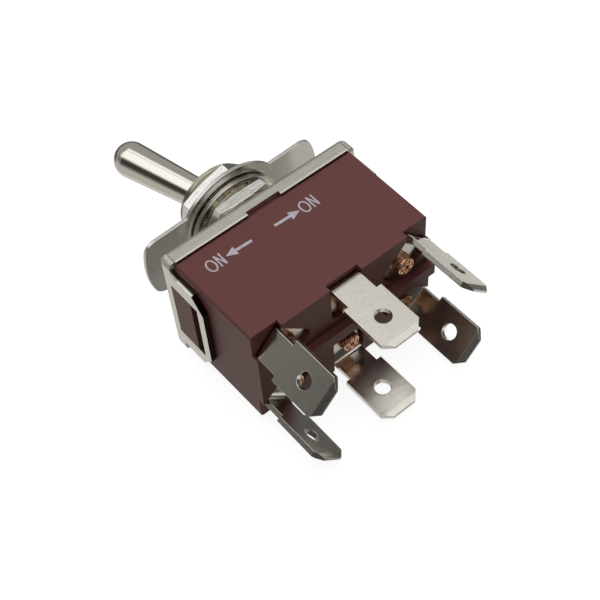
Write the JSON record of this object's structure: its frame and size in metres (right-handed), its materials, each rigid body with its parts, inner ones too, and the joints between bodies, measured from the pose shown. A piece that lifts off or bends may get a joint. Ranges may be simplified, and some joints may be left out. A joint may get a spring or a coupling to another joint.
{
  "type": "panel toggle switch",
  "caption": "Double-pole two-way toggle switch with a threaded bushing, legend plate, moulded case and riveted push-on tabs.",
  "frame": {"origin": "where the bushing's axis meets the outer face of the cover", "axes": "the lever and bushing point to -Y, the tabs to +Y, the printed face looks up to +Z, the case's length runs along X"},
  "size_m": [0.0318, 0.0579, 0.0194],
  "materials": {
    "case_moulding": "fine-grained phenolic moulding, maroon",
    "cover_plating": "nickel-plated sheet steel, faintly brushed",
    "plate_plating": "nickel-plated pressed steel, bright",
    "lever_plating": "polished nickel plating",
    "bushing_plating": "nickel-plated, threaded",
    "nut_plating": "nickel-plated turned nut",
    "washer_steel": "plated spring steel",
    "terminal_plating": "nickel-plated brass tab, satin",
    "rivet_copper": "copper-coloured tubular rivet",
    "liner_fibre": "vulcanised fibre sheet",
    "nylon": "natural nylon",
    "pin_steel": "ground steel pin",
    "spring_steel": "spring wire",
    "contact_brass": "stamped brass strip",
    "contact_silver": "silver contact button"
  },
  "bodies": {
    "lever": {"actuator": "nylon", "front_plunger": "pin_steel", "front_plunger_spring": "spring_steel", "lever": "lever_plating", "pivot_pin": "pin_steel", "rear_plunger": "pin_steel", "rear_plunger_spring": "spring_steel"},
    "housing": {"bushing": "bushing_plating", "case": "case_moulding", "cover_frame": "cover_plating", "front_fulcrum": "contact_brass", "front_left_contact_bracket": "contact_brass", "front_left_fixed_contact": "contact_silver", "front_right_contact_bracket": "contact_brass", "front_right_fixed_contact": "contact_silver", "insulating_sheet": "liner_fibre", "legend_plate": "plate_plating", "lock_washer": "washer_steel", "lower_nut": "nut_plating", "rear_fulcrum": "contact_brass", "rear_left_contact_bracket": "contact_brass", "rear_left_fixed_contact": "contact_silver", "rear_right_contact_bracket": "contact_brass", "rear_right_fixed_contact": "contact_silver", "rivet_front_left": "rivet_copper", "rivet_front_middle": "rivet_copper", "rivet_front_right": "rivet_copper", "rivet_rear_left": "rivet_copper", "rivet_rear_middle": "rivet_copper", "rivet_rear_right": "rivet_copper", "terminal_front_left": "terminal_plating", "terminal_front_middle": "terminal_plating", "terminal_front_right": "terminal_plating", "terminal_rear_left": "terminal_plating", "terminal_rear_middle": "terminal_plating", "terminal_rear_right": "terminal_plating", "upper_nut": "nut_plating"},
    "front_rocker": {"front_left_moving_contact": "contact_silver", "front_right_moving_contact": "contact_silver", "front_rocker": "contact_brass"},
    "rear_rocker": {"rear_left_moving_contact": "contact_silver", "rear_right_moving_contact": "contact_silver", "rear_rocker": "contact_brass"}
  },
  "joints": [
    {"name": "lever_toggle", "type": "hinge", "parent": "housing", "child": "lever", "pos_m": [0, -0.00765, 0], "axis": [0, 0, 1], "range_deg": [-30, 0]},
    {"name": "front_rocker_tilt", "type": "hinge", "parent": "housing", "child": "front_rocker", "pos_m": [0, 0.01091, 0.0047], "axis": [0, 0, 1], "range_deg": [0, 16]},
    {"name": "rear_rocker_tilt", "type": "hinge", "parent": "housing", "child": "rear_rocker", "pos_m": [0, 0.01091, -0.0047], "axis": [0, 0, 1], "range_deg": [0, 16]}
  ],
  "couplings": [
    {"joint": "front_rocker_tilt", "follows": "lever_toggle", "ratio": -0.53333},
    {"joint": "rear_rocker_tilt", "follows": "lever_toggle", "ratio": -0.53333}
  ]
}
